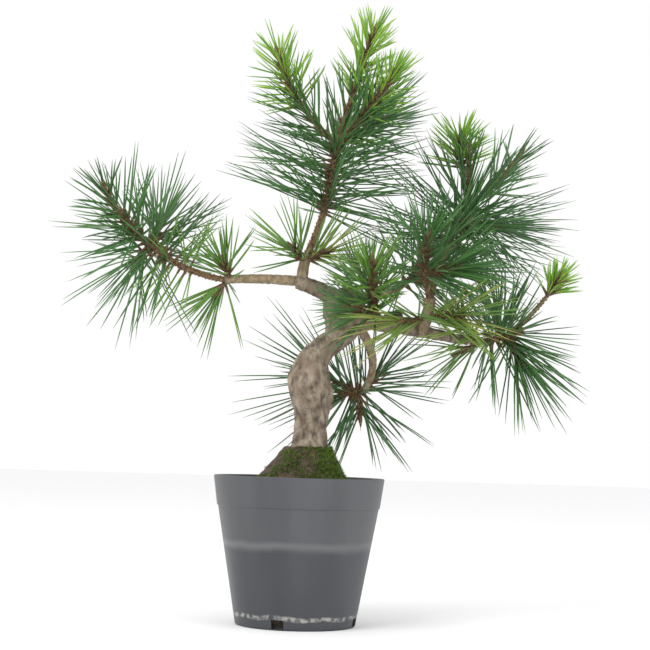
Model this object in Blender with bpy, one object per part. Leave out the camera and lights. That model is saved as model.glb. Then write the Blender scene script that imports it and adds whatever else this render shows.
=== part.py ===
"""A young Japanese black pine bonsai in its round plant pot.

The tree and the pot are built at their real size. Sizes below are millimetres and are turned into
metres where a mesh is made. The origin is the middle of the pot's flat underside, +X is the tree's
right as it is shown, +Y goes to the back and +Z is up.
"""
import math
import random

import bmesh
import bpy
import numpy as np

MM = 0.001
SEED = 7

# pot
POT_HEIGHT = 103.0
POT_RIM_RADIUS = 60.0
POT_COLLAR_Z = 82.0
POT_COLLAR_RADIUS = 57.3
POT_COLLAR_STEP = 0.8
POT_FOOT_RADIUS = 42.4
POT_FOOT_ROUND = 2.4
POT_WALL = 1.8
POT_FLOOR = 2.2
POT_SIDES = 48
NOTCH_WIDTH = 8.5
NOTCH_TOP = 7.0
NOTCH_BOTTOM = 1.0
NOTCH_AZIMUTH = -105.5

# soil and moss
SEAT = 0.3
SOIL_TOP = 97.0
MOUND_RADIUS = 35.0
MOUND_TOP = 124.0
MOUND_CENTRE = (1.0, 0.0)
MOUND_SIDES = 28

# trunk: x, y, height and radius of its stations, from the flat cut at the soil up to the fork
TRUNK = [
    (7, 0, SOIL_TOP + SEAT, 17.5),
    (6, 0, 118, 12.6),
    (7, 0, 134, 10.4),
    (8, 0, 146, 11.4),
    (6.5, 0, 160, 14.6),
    (5, 0, 172, 14.8),
    (7, 1, 184, 11.6),
    (14, 2, 194, 9.2),
    (22, 3, 201, 9.4),
    (28, 4, 213, 14),
    (27, 4, 226, 14.6),
    (25, 4, 237, 8.5),
]
TRUNK_SIDES = 16
TRUNK_RINGS = 26
# fused roots that wind down the lower trunk: where each starts round it, its top and its radius
ROOT_COUNT = 7
ROOT_TOP = 186.0
ROOT_RADIUS = 3.0
ROOT_TURN = 190.0
ROOT_SIDES = 6

# boughs: start, tip, how far the middle bows, radius at the start and at the tip
LIMBS = {
    "bough_left": ((22, 4, 230), (-6, -2, 241), (0, -1, 1), 6.4, 5.2),
    "branch_left": ((-2, -2, 241), (-57, -10, 240), (0, -1, 1), 3.8, 3.0),
    "bough_top": ((-2, -2, 243), (1, -1, 261), (-1, 0, 0), 4.2, 3.6),
    "bough_right": ((32, 2, 217), (118, 6, 202.5), (1, -12, -1), 7.2, 3.0),
    "bough_right_up": ((82, -8, 206.5), (88, -12, 231), (1.5, 0, -1), 4.4, 4.2),
    "bough_low": ((38, 3, 212), (44, 28, 166), (9, 6, -1), 3.6, 2.5),
    "bough_back": ((30, 12, 224), (64, 68, 243), (0, 3, 3), 5.5, 2.8),
    "dead_stub": ((52, -4, 212), (68, 10, 221), (0, 0, 0), 4.5, 3.6),
}
LIMB_SIDES = 8
LIMB_RINGS = 7
# the limbs that each limb is cut clear of
CARRIED_BY = {
    "bough_left": ["trunk"],
    "branch_left": ["bough_left"],
    "bough_top": ["bough_left", "branch_left"],
    "bough_right": ["trunk"],
    "bough_right_up": ["bough_right"],
    "bough_low": ["trunk", "bough_right"],
    "bough_back": ["trunk"],
    "dead_stub": ["bough_right"],
}

# twigs of each mass of needles: what it grows from (a limb, an earlier twig of the mass by number,
# or a point), the share of the way along that, its tip, how far its middle bows, and its radius
TWIGS = {
    "needles_left": [
        ("branch_left", 1.0, (-120, -8, 270), (0, -2, -6), 2.2),
        (0, 1.0, (-142, -22, 300), (-3, 0, 0), 1.6),
        (0, 0.95, (-128, -30, 282), (0, 0, 0), 1.6),
        (0, 0.80, (-106, 18, 285), (0, 0, 0), 1.6),
        (0, 0.85, (-124, 16, 252), (0, 0, 0), 1.6),
    ],
    "needles_left_inner_up": [("branch_left", 0.92, (-58, -20, 251), (0, 0, 0), 1.6)],
    "needles_left_inner_down": [("branch_left", 0.95, (-62, -2, 232), (0, 0, 0), 1.6)],
    "needles_top": [
        ("bough_top", 1.0, (19, 0, 342), (4, 2, 0), 2.6),
        (0, 1.0, (-24, -10, 402), (-5, 0, -3), 1.9),
        (0, 1.0, (44, 4, 424), (0, 0, 0), 1.9),
        (0, 1.0, (58, -24, 388), (3, -2, -2), 1.9),
        (0, 0.97, (51, 30, 366), (0, 0, 0), 1.9),
        (0, 0.95, (38, 34, 371), (0, 0, 0), 1.9),
    ],
    "needles_top_foot_left": [("bough_top", 0.66, (-9, -12, 263), (0, 0, 0), 1.5)],
    "needles_top_foot_right": [("bough_top", 0.70, (15, -9, 262), (0, 0, 0), 1.5)],
    "needles_crest": [
        ((88.6, -9.4, 231.0), 1.0, (118, 25, 303), (-2, 0, 3), 2.2),
        (0, 1.0, (110, 20, 351), (-2, 0, 0), 1.7),
        (0, 1.0, (115, 10, 338), (0, 0, 0), 1.7),
        (0, 1.0, (156, 38, 346), (0, 0, -4), 1.7),
        (0, 0.80, (147, 52, 292), (0, 0, 0), 1.7),
        (0, 0.72, (113, -14, 286), (0, 0, 0), 1.7),
    ],
    "needles_right_front": [
        ((87.4, -14.6, 231.0), 1.0, (85, -36, 270), (-3, 0, 0), 1.9),
        (0, 0.40, (104, -38, 250), (0, 0, 0), 1.6),
    ],
    "needles_fork_left": [("bough_right_up", 0.45, (68, -34, 212), (0, 0, 0), 1.6)],
    "needles_fork_right": [("bough_right_up", 0.5, (109, -30, 218), (0, 0, 0), 1.6)],
    "needles_centre": [("bough_right", 0.24, (46, -36, 250), (-2, -4, -3), 2.0)],
    "needles_centre_inner": [("bough_right", 0.32, (34, -30, 220), (0, -4, 1), 1.9)],
    "needles_right_low": [
        ("bough_right", 1.0, (151, 6, 210), (0, 2, -2), 2.2),
        (0, 0.8, (153, -6, 190), (0, 0, 0), 1.6),
        (0, 0.7, (140, 26, 222), (0, 0, 0), 1.6),
        (0, 0.3, (106, -18, 214), (0, 0, 0), 1.6),
        (0, 0.8, (180, -6, 248), (0, 0, -4), 1.7),
        (0, 0.35, (113, 18, 196), (0, 0, 0), 1.6),
    ],
    "needles_back_right": [
        ("bough_back", 1.0, (90, 96, 276), (3, 3, -3), 2.2),
        (0, 0.4, (111, 90, 260), (0, 0, 0), 1.7),
    ],
    "needles_back_middle": [("bough_back", 0.6, (40, 78, 258), (0, 0, -2), 2.0)],
    "needles_low": [
        ("bough_low", 1.0, (31, 32, 164), (0, 0, -1), 2.0),
        (0, 0.3, (42, 24, 148), (0, 0, 0), 1.6),
        (0, 0.1, (57, 42, 180), (0, 0, 0), 1.6),
        (0, 0.2, (14, 48, 177), (0, 0, 0), 1.6),
    ],
}
TWIG_SIDES = 6

# coats of needles: mass, twig, needles, their length, how far they spread from the twig (degrees)
# at the foot and at the head of the coat, and the stretch of the twig that bears them
COATS = [
    ("needles_left", 0, 34, 58, 104, 55, 0.64, 1.0),
    ("needles_left", 0, 12, 52, 92, 88, 0.34, 0.7),
    ("needles_left", 1, 18, 36, 60, 25, 0.0, 1.0),
    ("needles_left", 2, 17, 58, 66, 36, 0.0, 1.0),
    ("needles_left", 3, 24, 61, 66, 14, 0.05, 1.0),
    ("needles_left", 4, 17, 66, 75, 18, 0.05, 1.0),
    ("needles_left_inner_up", 0, 17, 41, 60, 24, 0.1, 1.0),
    ("needles_left_inner_down", 0, 13, 50, 56, 12, 0.1, 1.0),
    ("needles_top", 0, 80, 79, 82, 70, 0.36, 1.0),
    ("needles_top", 1, 15, 47, 45, 32, 0.05, 0.5),
    ("needles_top", 1, 40, 33, 70, 34, 0.45, 1.0),
    ("needles_top", 2, 12, 42, 50, 30, 0.0, 0.4),
    ("needles_top", 2, 46, 33, 60, 32, 0.40, 1.0),
    ("needles_top", 3, 16, 50, 35, 32, 0.15, 0.5),
    ("needles_top", 3, 36, 31, 62, 28, 0.40, 1.0),
    ("needles_top", 4, 28, 62, 52, 12, 0.12, 1.0),
    ("needles_top", 5, 20, 36, 52, 12, 0.05, 1.0),
    ("needles_top_foot_left", 0, 14, 48, 50, 30, 0.1, 1.0),
    ("needles_top_foot_right", 0, 13, 50, 50, 27, 0.1, 1.0),
    ("needles_crest", 0, 58, 78, 97, 60, 0.52, 1.0),
    ("needles_crest", 1, 32, 33, 75, 32, 0.55, 1.0),
    ("needles_crest", 2, 10, 40, 25, 25, 0.1, 1.0),
    ("needles_crest", 3, 18, 43, 30, 30, 0.12, 0.9),
    ("needles_crest", 4, 26, 71, 66, 6, 0.1, 1.0),
    ("needles_crest", 5, 18, 56, 70, 20, 0.15, 1.0),
    ("needles_right_front", 0, 36, 56, 90, 20, 0.28, 1.0),
    ("needles_right_front", 1, 24, 56, 48, 14, 0.05, 1.0),
    ("needles_fork_left", 0, 12, 62, 30, 14, 0.1, 1.0),
    ("needles_fork_right", 0, 17, 57, 38, 26, 0.1, 1.0),
    ("needles_centre", 0, 44, 40, 68, 42, 0.2, 1.0),
    ("needles_centre_inner", 0, 20, 41, 75, 22, 0.4, 1.0),
    ("needles_right_low", 0, 30, 65, 107, 44, 0.4, 1.0),
    ("needles_right_low", 1, 22, 64, 50, 14, 0.05, 1.0),
    ("needles_right_low", 2, 22, 57, 53, 10, 0.1, 1.0),
    ("needles_right_low", 3, 14, 53, 46, 14, 0.1, 1.0),
    ("needles_right_low", 4, 26, 23, 56, 31, 0.76, 1.0),
    ("needles_right_low", 5, 8, 50, 58, 30, 0.1, 1.0),
    ("needles_back_right", 0, 27, 59, 77, 17, 0.2, 1.0),
    ("needles_back_right", 1, 30, 58, 60, 22, 0.1, 1.0),
    ("needles_back_middle", 0, 30, 45, 74, 10, 0.2, 1.0),
    ("needles_low", 0, 30, 60, 117, 20, 0.1, 1.0),
    ("needles_low", 1, 10, 62, 72, 25, 0.1, 1.0),
    ("needles_low", 2, 16, 58, 68, 17, 0.1, 1.0),
    ("needles_low", 3, 19, 78, 68, 15, 0.1, 1.0),
]
NEEDLE_RADIUS = 1.2
NEEDLE_SHARE = 0.42
NEEDLE_CLEAR = 0.45
GOLDEN_ANGLE = math.radians(137.50776)

# colour, roughness and metallic value of each material
MATERIALS = {
    "pot_plastic": ((0.07, 0.075, 0.08), 0.45, 0.0),
    "soil": ((0.06, 0.04, 0.025), 0.95, 0.0),
    "moss": ((0.12, 0.20, 0.04), 0.95, 0.0),
    "bark": ((0.30, 0.21, 0.13), 0.85, 0.0),
    "young_bark": ((0.38, 0.28, 0.17), 0.8, 0.0),
    "dead_wood": ((0.12, 0.10, 0.08), 0.9, 0.0),
    "needles": ((0.08, 0.20, 0.05), 0.5, 0.0),
}


# Helpers

def empty_scene():
    for old in list(bpy.data.objects):
        bpy.data.objects.remove(old, do_unlink=True)


def material(name):
    found = bpy.data.materials.get(name)
    if found:
        return found
    colour, roughness, metallic = MATERIALS[name]
    made = bpy.data.materials.new(name)
    made.use_nodes = True
    shader = made.node_tree.nodes["Principled BSDF"]
    shader.inputs["Base Color"].default_value = (*colour, 1.0)
    shader.inputs["Roughness"].default_value = roughness
    shader.inputs["Metallic"].default_value = metallic
    return made


def solid(name, points, faces, finish=None, collection=None):
    """An object from points in millimetres and outward faces."""
    mesh = bpy.data.meshes.new(name)
    mesh.from_pydata([tuple(float(v) * MM for v in p) for p in points], [], faces)
    mesh.update()
    made = bpy.data.objects.new(name, mesh)
    (collection or bpy.context.scene.collection).objects.link(made)
    if finish:
        mesh.materials.append(material(finish))
    return made


def applied(target):
    """Replace the object's mesh by its evaluated one and drop its modifiers."""
    graph = bpy.context.evaluated_depsgraph_get()
    result = bpy.data.meshes.new_from_object(target.evaluated_get(graph))
    target.modifiers.clear()
    target.data = result
    return target


def boolean(target, operation, operand, solver="EXACT"):
    """Apply a Boolean with an object, or with each object of a collection in the order of names."""
    grouped = isinstance(operand, bpy.types.Collection)
    parts = sorted(operand.objects, key=lambda part: part.name) if grouped else [operand]
    for part in parts:
        step = target.modifiers.new(operation.title(), "BOOLEAN")
        step.operation = operation
        step.solver = solver
        step.object = part
        applied(target)
        bpy.data.objects.remove(part, do_unlink=True)
    if grouped:
        bpy.data.collections.remove(operand)
    return target


def one_body(target):
    """Keep the largest body of a cut solid and drop loose scraps."""
    mesh = bmesh.new()
    mesh.from_mesh(target.data)
    left = set(mesh.verts)
    bodies = []
    while left:
        body, queue = set(), [left.pop()]
        while queue:
            point = queue.pop()
            body.add(point)
            near = {edge.other_vert(point) for edge in point.link_edges} & left
            left -= near
            queue.extend(near)
        bodies.append(body)
    bodies.sort(key=len)
    for body in bodies[:-1]:
        bmesh.ops.delete(mesh, geom=list(body), context="VERTS")
    mesh.to_mesh(target.data)
    mesh.free()
    return target


def gathered(name):
    """A collection in the scene for the pieces of one union."""
    group = bpy.data.collections.new(name)
    bpy.context.scene.collection.children.link(group)
    return group


# Curves and tubes

def arc(start, tip, bow, steps):
    """Points of a line that bows by the given amount at its middle."""
    a, b, c = (np.array(v, float) for v in (start, tip, bow))
    t = np.linspace(0, 1, steps)[:, None]
    return a + (b - a) * t + 4 * t * (1 - t) * c


def smooth(points, steps):
    """A curve through the given points."""
    p = [np.array(v, float) for v in points]
    p = [2 * p[0] - p[1]] + p + [2 * p[-1] - p[-2]]
    out = []
    for i in range(steps):
        at = i / (steps - 1) * (len(p) - 3)
        k = min(int(at), len(p) - 4)
        u = at - k
        a, b, c, d = p[k:k + 4]
        out.append(0.5 * (2 * b + (c - a) * u + (2 * a - 5 * b + 4 * c - d) * u ** 2
                          + (3 * b - a - 3 * c + d) * u ** 3))
    return np.array(out)


def place(path, share):
    """The point and the direction at a share of the way along a path."""
    at = share * (len(path) - 1)
    i = min(int(at), len(path) - 2)
    step = path[i + 1] - path[i]
    return path[i] + step * (at - i), step / np.linalg.norm(step)


def rings(path, radii, sides, level=False):
    """Rings of points round a path, carried along it without twist."""
    ways = np.gradient(path, axis=0)
    ways /= np.linalg.norm(ways, axis=1)[:, None]
    side = np.cross(ways[0], (0, 1.0, 0.15))
    out = []
    for centre, way, radius in zip(path, ways, radii):
        if level:
            way = np.array((0, 0, 1.0))
            side = np.array((1.0, 0, 0))
        side = side - way * np.dot(side, way)
        side /= np.linalg.norm(side)
        other = np.cross(way, side)
        for k in range(sides):
            turn = 2 * math.pi * k / sides
            reach = radius(turn) if callable(radius) else radius
            out.append(centre + reach * (math.cos(turn) * side + math.sin(turn) * other))
    return out


def skin(count, sides):
    """Faces between rings, with both ends closed."""
    faces = []
    for i in range(count - 1):
        for k in range(sides):
            a, b = i * sides + k, i * sides + (k + 1) % sides
            faces.append((a, b, b + sides, a + sides))
    faces.append(tuple(range(sides - 1, -1, -1)))
    faces.append(tuple((count - 1) * sides + k for k in range(sides)))
    return faces


def tube(name, path, radii, sides, finish=None, collection=None):
    return solid(name, rings(path, radii, sides), skin(len(path), sides), finish, collection)


def lathe(name, profile, sides, finish, centre=(0.0, 0.0)):
    """A turned solid: the profile runs from the axis at the bottom to the axis at the top."""
    points = [(centre[0], centre[1], profile[0][1])]
    for radius, height in profile[1:-1]:
        for k in range(sides):
            turn = 2 * math.pi * k / sides
            points.append((centre[0] + radius * math.cos(turn), centre[1] + radius * math.sin(turn), height))
    points.append((centre[0], centre[1], profile[-1][1]))
    last = len(points) - 1
    faces = []
    for k in range(sides):
        nxt = (k + 1) % sides
        faces.append((0, 1 + nxt, 1 + k))
        for i in range(len(profile) - 3):
            a, b = 1 + i * sides + k, 1 + i * sides + nxt
            faces.append((a, b, b + sides, a + sides))
        faces.append((last - sides + k, last - sides + nxt, last))
    return solid(name, points, faces, finish)


# Pot, soil and moss

def pot_radius(height):
    """Outer radius of the pot's plain wall."""
    share = (height - POT_FOOT_ROUND) / (POT_COLLAR_Z - POT_FOOT_ROUND)
    return POT_FOOT_RADIUS + (POT_COLLAR_RADIUS - POT_COLLAR_STEP - POT_FOOT_RADIUS) * share


def build_pot():
    inner_foot = pot_radius(POT_FLOOR) - POT_WALL
    inner_rim = POT_RIM_RADIUS - POT_WALL
    pot = lathe("pot", [
        (0, 0),
        (POT_FOOT_RADIUS - 1.6, 0),
        (POT_FOOT_RADIUS - 0.5, 0.6),
        (POT_FOOT_RADIUS, POT_FOOT_ROUND),
        (POT_COLLAR_RADIUS - POT_COLLAR_STEP, POT_COLLAR_Z),
        (POT_COLLAR_RADIUS, POT_COLLAR_Z + 0.6),
        (POT_RIM_RADIUS, POT_HEIGHT - 0.8),
        (POT_RIM_RADIUS - 0.4, POT_HEIGHT),
        (inner_rim + 0.3, POT_HEIGHT),
        (inner_rim, POT_HEIGHT - 0.8),
        (inner_foot, POT_FLOOR),
        (0, POT_FLOOR),
    ], POT_SIDES, "pot_plastic")
    for quarter in range(4):
        turn = math.radians(NOTCH_AZIMUTH + 90 * quarter)
        bpy.ops.mesh.primitive_cube_add(size=1)
        cutter = bpy.context.object
        cutter.scale = (12 * MM, NOTCH_WIDTH * MM, (NOTCH_TOP - NOTCH_BOTTOM) * MM)
        middle = (NOTCH_TOP + NOTCH_BOTTOM) / 2
        reach = POT_FOOT_RADIUS + 2
        cutter.location = (reach * math.cos(turn) * MM, reach * math.sin(turn) * MM, middle * MM)
        cutter.rotation_euler = (0, 0, turn)
        boolean(pot, "DIFFERENCE", cutter)
    return pot


def build_soil():
    floor = POT_FLOOR + SEAT
    slope = (POT_RIM_RADIUS - pot_radius(POT_FLOOR)) / (POT_HEIGHT - POT_FLOOR)
    foot = pot_radius(POT_FLOOR) - POT_WALL - 1.5 * SEAT
    return lathe("soil", [
        (0, floor),
        (foot, floor),
        (foot + slope * (SOIL_TOP - floor) * 0.98, SOIL_TOP),
        (0, SOIL_TOP),
    ], POT_SIDES // 2 * 2, "soil")


def mound_radius(turn, share):
    """Radius of the moss mound at a share of its height, lumpy and wider to the left."""
    lumps = 1.2 * math.sin(3 * turn + 0.7) + 0.8 * math.sin(5 * turn + 2.1)
    wide = MOUND_RADIUS + 1.6 * math.cos(turn - math.pi) + lumps
    return 16.5 + (wide - 16.5) * (1 - share) ** 1.15


def build_mound():
    """The mossy root mound, cut clear of the trunk that rises through it."""
    foot = SOIL_TOP + SEAT
    heights = [foot, foot + 4, foot + 9, foot + 15, foot + 21, MOUND_TOP]
    path = [(*MOUND_CENTRE, z) for z in heights]
    shares = [(z - foot) / (MOUND_TOP - foot) for z in heights]
    radii = [lambda turn, s=s: mound_radius(turn, s) for s in shares]
    centre = np.array(path, float)
    centre[:, 0] += np.array(shares) * 4.0
    points = rings(centre, radii, MOUND_SIDES, level=True)
    mound = solid("moss_mound", points, skin(len(heights), MOUND_SIDES), "moss")
    return boolean(mound, "DIFFERENCE", trunk_solid("trunk_clearance", SEAT + 0.4), "MANIFOLD")


# Trunk and boughs

def trunk_core():
    """Centre line and radius of the trunk's core."""
    line = smooth([(x, y, z, r) for x, y, z, r in TRUNK], TRUNK_RINGS)
    return line[:, :3], line[:, 3]


def root_path(index, steps=15):
    """One fused root, winding down round the core and spreading at the foot."""
    path, radii = trunk_core()
    start = 360 / ROOT_COUNT * index
    top = ROOT_TOP - 6 * (index % 3)
    out = []
    for z in np.linspace(top, SOIL_TOP - 8, steps):
        centre = np.array([np.interp(z, path[:, 2], path[:, axis]) for axis in range(3)])
        centre[2] = z
        core = np.interp(z, path[:, 2], radii)
        turn = math.radians(start + ROOT_TURN * (top - z) / 90)
        flare = 1 + 0.30 * max(0.0, (112 - z) / 20) ** 2
        reach = (core - 0.9) * flare if z < top - 4 else core - 3.2
        out.append(centre + reach * np.array((math.cos(turn), math.sin(turn), 0)))
    return np.array(out)


def trunk_solid(name, grown=0.0, finish=None):
    """The trunk: a tapering core joined with the roots that wind round it, cut flat at the soil."""
    path, radii = trunk_core()
    waves = [
        lambda turn, r=r, i=i: grown + r * (1 + 0.05 * math.sin(3 * turn + 0.5 * i) + 0.03 * math.sin(5 * turn - i))
        for i, r in enumerate(radii)
    ]
    path[0, 2] -= grown
    path[-1, 2] += grown
    trunk = solid(name, rings(path, waves, TRUNK_SIDES, level=True), skin(len(path), TRUNK_SIDES), finish)
    roots = gathered(name + "_roots")
    for index in range(ROOT_COUNT):
        line = root_path(index)
        thick = [grown + ROOT_RADIUS * (0.55 + 0.55 * k / (len(line) - 1)) for k in range(len(line))]
        tube(f"{name}_root_{index}", line, thick, ROOT_SIDES, None, roots)
    boolean(trunk, "UNION", roots, "MANIFOLD")
    bpy.ops.mesh.primitive_cube_add(size=1)
    below = bpy.context.object
    below.scale = (0.2, 0.2, 0.05)
    below.location = (0, 0, (SOIL_TOP + SEAT - grown) * MM - 0.025)
    return boolean(trunk, "DIFFERENCE", below, "MANIFOLD")


def limb_path(name, steps=LIMB_RINGS):
    start, tip, bow = LIMBS[name][:3]
    return arc(start, tip, bow, steps)


def limb_solid(name, label=None, grown=0.0, finish=None):
    """One tapering limb, a little swollen at its foot."""
    path = limb_path(name)
    first, last = LIMBS[name][3:]
    radii = [grown + first + (last - first) * t ** 0.8 for t in np.linspace(0, 1, len(path))]
    way = path[-1] - path[-2]
    path[-1] = path[-1] + way / np.linalg.norm(way) * grown
    return tube(label or name, path, radii, LIMB_SIDES, finish)


def clearance(name):
    """The named limb, grown by the seat, as a cutter for what it carries."""
    if name == "trunk":
        return trunk_solid("trunk_clearance", SEAT + 0.05)
    return limb_solid(name, name + "_clearance", SEAT + 0.05)


def build_limb(name):
    finish = {"dead_stub": "dead_wood", "bough_left": "bark", "bough_right": "bark"}.get(name, "young_bark")
    limb = limb_solid(name, finish=finish)
    for carrier in CARRIED_BY[name]:
        boolean(limb, "DIFFERENCE", clearance(carrier), "MANIFOLD")
    return one_body(limb)


# Masses of needles

def twig_paths(mass, steps=7):
    paths = []
    for grows_from, share, tip, bow, _ in TWIGS[mass]:
        if isinstance(grows_from, str):
            start = place(limb_path(grows_from), share)[0]
        elif isinstance(grows_from, int):
            start = place(paths[grows_from], share)[0]
        else:
            start = grows_from
        paths.append(arc(start, tip, bow, steps))
    return paths


def needles_of(coat, path, index):
    """Root and tip of each needle of a coat, set round the twig by the golden angle."""
    mass, _, count, length, foot, head, first, last = coat
    count = round(count * NEEDLE_SHARE)
    rng = random.Random(f"{SEED} {mass} {index}")
    for i in range(count):
        t = (i + 0.5) / count
        root, along = place(path, first + (last - first) * t)
        level = np.array((0, 0, 1.0)) if abs(along[2]) < 0.9 else np.array((1.0, 0, 0))
        side = np.cross(along, level)
        side /= np.linalg.norm(side)
        other = np.cross(along, side)
        turn = i * GOLDEN_ANGLE + rng.uniform(-0.35, 0.35)
        lean = math.radians(foot + (head - foot) * t + rng.gauss(0, 8))
        way = math.cos(lean) * along + math.sin(lean) * (math.cos(turn) * side + math.sin(turn) * other)
        size = length * rng.uniform(0.84, 1.10) * (1 - 0.25 * t ** 3)
        droop = along * rng.uniform(-0.02, 0.10) - np.array((0, 0, rng.uniform(-0.02, 0.08)))
        yield root, root + (way + droop) * size


class Obstacles:
    """Tapering rods that the needles of other masses keep clear of."""

    def __init__(self):
        self.rows = []

    def add(self, owner, start, end, start_radius, end_radius):
        self.rows.append((owner, np.array(start, float), np.array(end, float), start_radius, end_radius))

    def clear(self, owner, start, end, radius):
        """Whether a needle stays clear of every rod of another owner."""
        rows = [row for row in self.rows if row[0] != owner]
        a = np.array([row[1] for row in rows])
        d = np.array([row[2] for row in rows]) - a
        ra = np.array([row[3] for row in rows])
        rb = np.array([row[4] for row in rows])
        way = end - start
        r = start - a
        dd, ww, dw = (d * d).sum(1) + 1e-12, way @ way, d @ way
        f, c = (d * r).sum(1), r @ way
        s = np.clip((dw * f - c * dd) / np.maximum(ww * dd - dw * dw, 1e-9), 0, 1)
        t = np.clip((dw * s + f) / dd, 0, 1)
        s = np.clip((dw * t - c) / ww, 0, 1)
        apart = np.linalg.norm(start + way * s[:, None] - a - d * t[:, None], axis=1)
        needed = radius * (1 - s) + ra + (rb - ra) * t + NEEDLE_CLEAR
        return bool((apart > needed).all())


def clear_of_pot(start, end):
    """Whether a needle stays off the pot, the soil and the mound."""
    for t in np.linspace(0, 1, 25):
        x, y, z = start + (end - start) * t
        out = math.hypot(x, y)
        if z < POT_HEIGHT + 2 and out > POT_RIM_RADIUS - POT_WALL - 3:
            return False
        if z < SOIL_TOP + 2.5:
            return False
        if z < MOUND_TOP + 2:
            share = max(0.0, (z - SOIL_TOP - SEAT - 2) / (MOUND_TOP - SOIL_TOP))
            from_axis = math.hypot(x - MOUND_CENTRE[0] - 4 * share, y)
            if from_axis < 19 + (MOUND_RADIUS + 4 - 16.5) * (1 - min(share, 1)) ** 1.15:
                return False
    return True


def needle_solid(name, root, tip, collection):
    """One needle: a slim three-sided pyramid with its base on the twig's axis."""
    way = (tip - root) / np.linalg.norm(tip - root)
    side = np.cross(way, (0.3, 0.5, 0.8))
    side /= np.linalg.norm(side)
    other = np.cross(way, side)
    corners = []
    for k in range(3):
        turn = 2 * math.pi * k / 3
        corners.append(root + NEEDLE_RADIUS * (math.cos(turn) * side + math.sin(turn) * other))
    return solid(name, [*corners, tip], [(2, 1, 0), (0, 1, 3), (1, 2, 3), (2, 0, 3)], None, collection)


def twig_radii(radius, path, is_bud):
    """Twig radius along its path, with a bud at its tip."""
    count = len(path)
    radii = [radius * (1 - 0.25 * k / (count - 1)) for k in range(count)]
    if is_bud:
        radii[-1] = 0.5
    return radii


def build_mass(mass, obstacles):
    """One mass: its twigs and needles fused, then cut clear of the limb that carries it."""
    paths = twig_paths(mass)
    pieces = gathered(mass + "_pieces")
    trunk_twig = None
    for number, (path, row) in enumerate(zip(paths, TWIGS[mass])):
        radii = twig_radii(row[4], path, number > 0 or len(paths) == 1)
        if number == 0:
            trunk_twig = tube(mass, path, radii, TWIG_SIDES, "needles")
        else:
            tube(f"{mass}_twig_{number}", path, radii, TWIG_SIDES, None, pieces)
    skipped = 0
    for index, coat in enumerate(COATS):
        if coat[0] != mass:
            continue
        for root, tip in needles_of(coat, paths[coat[1]], index):
            if clear_of_pot(root, tip) and obstacles.clear(mass, root, tip, NEEDLE_RADIUS):
                obstacles.add(mass, root, tip, NEEDLE_RADIUS, 0.0)
                needle_solid(f"{mass}_needle", root, tip, pieces)
            else:
                skipped += 1
    boolean(trunk_twig, "UNION", pieces, "MANIFOLD")
    carrier = TWIGS[mass][0][0]
    if not isinstance(carrier, str):
        carrier = "bough_right_up"
    boolean(trunk_twig, "DIFFERENCE", clearance(carrier), "MANIFOLD")
    one_body(trunk_twig)
    print(mass, "triangles", sum(len(f.vertices) - 2 for f in trunk_twig.data.polygons), "skipped", skipped)
    return trunk_twig


def limb_obstacles():
    """The limbs and twigs, which no needle of another mass touches."""
    obstacles = Obstacles()
    path, radii = trunk_core()
    for i in range(len(path) - 1):
        obstacles.add("trunk", path[i], path[i + 1], radii[i] + 3.4, radii[i + 1] + 3.4)
    for name, row in LIMBS.items():
        path = limb_path(name)
        for i in range(len(path) - 1):
            obstacles.add(name, path[i], path[i + 1], row[3], row[3])
    for mass, rows in TWIGS.items():
        for path, row in zip(twig_paths(mass), rows):
            for i in range(len(path) - 1):
                obstacles.add(mass, path[i], path[i + 1], row[4], row[4])
    return obstacles


# The whole

def main():
    empty_scene()
    build_pot()
    build_soil()
    trunk_solid("trunk", finish="bark")
    build_mound()
    for name in LIMBS:
        build_limb(name)
    obstacles = limb_obstacles()
    for mass in TWIGS:
        build_mass(mass, obstacles)


main()
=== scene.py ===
# %% [markdown]
# A young Japanese black pine bonsai in its plant pot. The imported model is the fixed frame: each
# piece below is built where its solid stands, at its real size. We load it first.

# %% Load the frame
import math
import random

import bpy
import numpy as np
from mathutils import Matrix, Vector, noise


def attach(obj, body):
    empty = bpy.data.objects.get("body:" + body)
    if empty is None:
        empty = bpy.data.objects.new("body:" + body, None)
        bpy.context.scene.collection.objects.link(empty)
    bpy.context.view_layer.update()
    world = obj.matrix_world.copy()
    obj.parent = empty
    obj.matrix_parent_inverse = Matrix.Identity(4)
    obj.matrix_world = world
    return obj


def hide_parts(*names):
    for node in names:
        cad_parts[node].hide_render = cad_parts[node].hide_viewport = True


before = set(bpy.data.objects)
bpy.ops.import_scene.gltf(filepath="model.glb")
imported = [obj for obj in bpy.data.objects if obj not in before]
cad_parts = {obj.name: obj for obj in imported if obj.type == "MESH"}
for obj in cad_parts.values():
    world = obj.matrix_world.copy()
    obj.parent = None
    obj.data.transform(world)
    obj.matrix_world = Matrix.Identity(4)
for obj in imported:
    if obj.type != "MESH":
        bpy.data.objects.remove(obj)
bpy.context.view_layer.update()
MM = 0.001
SEED = 7
noise.seed_set(SEED)  # noise_vector would otherwise start from the clock
GOLDEN_ANGLE = math.radians(137.50776)

# %% [markdown]
# The camera stands about a metre away with a long lens, a little below the middle of the tree,
# and looks slightly up. The rim and the foot of the pot gave its place. A long lens keeps the
# pot's sides almost parallel, and the small roll is what the picture shows.

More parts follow.
